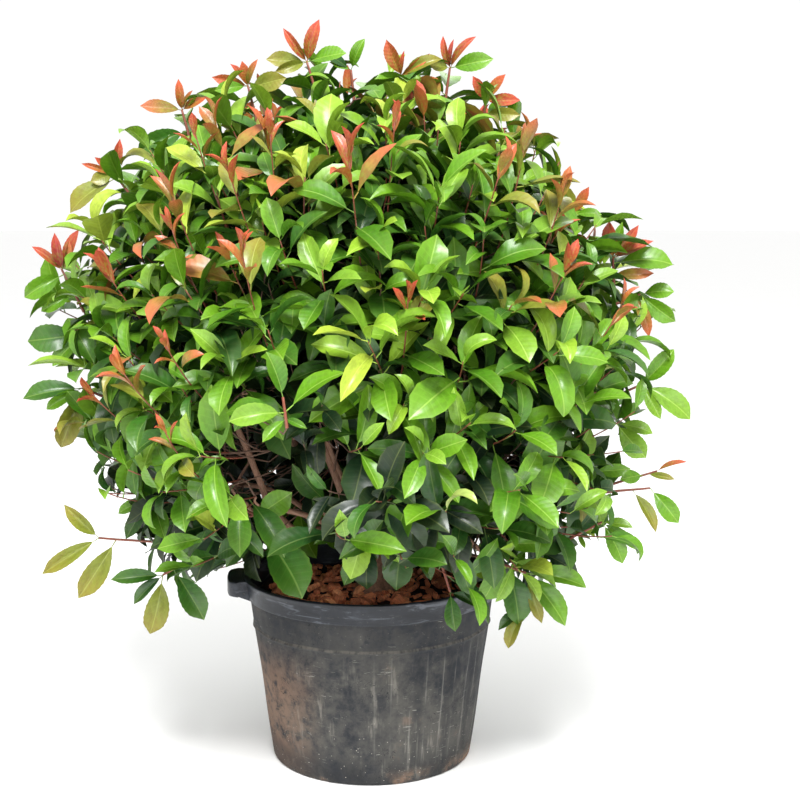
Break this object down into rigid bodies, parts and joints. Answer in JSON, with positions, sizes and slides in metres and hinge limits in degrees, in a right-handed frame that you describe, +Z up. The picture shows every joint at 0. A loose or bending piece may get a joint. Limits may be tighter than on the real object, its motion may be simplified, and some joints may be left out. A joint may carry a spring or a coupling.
{
  "type": "photinia red robin shrub in a nursery pot",
  "caption": "Evergreen photinia shrub with a full round crown of glossy green leaves and red young shoots, many-stemmed, growing in a round black plastic nursery pot.",
  "frame": {"origin": "middle of the flat underside of the pot, on the pot's axis", "axes": "+Z up along the pot's axis; the view of the picture looks along +Y, with +X to its right"},
  "size_m": [1.0743, 0.974, 1.1866],
  "materials": {
    "pot": "matte",
    "soil": "matte",
    "bark": "matte",
    "foliage": "satin",
    "red_foliage": "satin"
  },
  "bodies": {
    "root": {"pot": "pot", "pot_lug_left": "pot", "pot_lug_right": "pot", "soil": "soil", "trunk": "bark", "bough_top": "bark", "bough_upper_1": "bark", "bough_upper_2": "bark", "bough_upper_3": "bark", "bough_upper_4": "bark", "bough_upper_5": "bark", "bough_middle_1": "bark", "bough_middle_2": "bark", "bough_middle_3": "bark", "bough_middle_4": "bark", "bough_middle_5": "bark", "bough_middle_6": "bark", "bough_lower_1": "bark", "bough_lower_2": "bark", "bough_lower_3": "bark", "bough_lower_4": "bark", "bough_lower_5": "bark", "bough_lower_6": "bark", "bough_lower_7": "bark", "foliage_top": "red_foliage", "foliage_upper_1": "foliage", "foliage_upper_2": "foliage", "foliage_upper_3": "foliage", "foliage_upper_4": "foliage", "foliage_upper_5": "foliage", "foliage_middle_1": "foliage", "foliage_middle_2": "foliage", "foliage_middle_3": "foliage", "foliage_middle_4": "foliage", "foliage_middle_5": "foliage", "foliage_middle_6": "foliage", "foliage_lower_1": "foliage", "foliage_lower_2": "foliage", "foliage_lower_3": "foliage", "foliage_lower_4": "foliage", "foliage_lower_5": "foliage", "foliage_lower_6": "foliage", "foliage_lower_7": "foliage"}
  },
  "joints": []
}
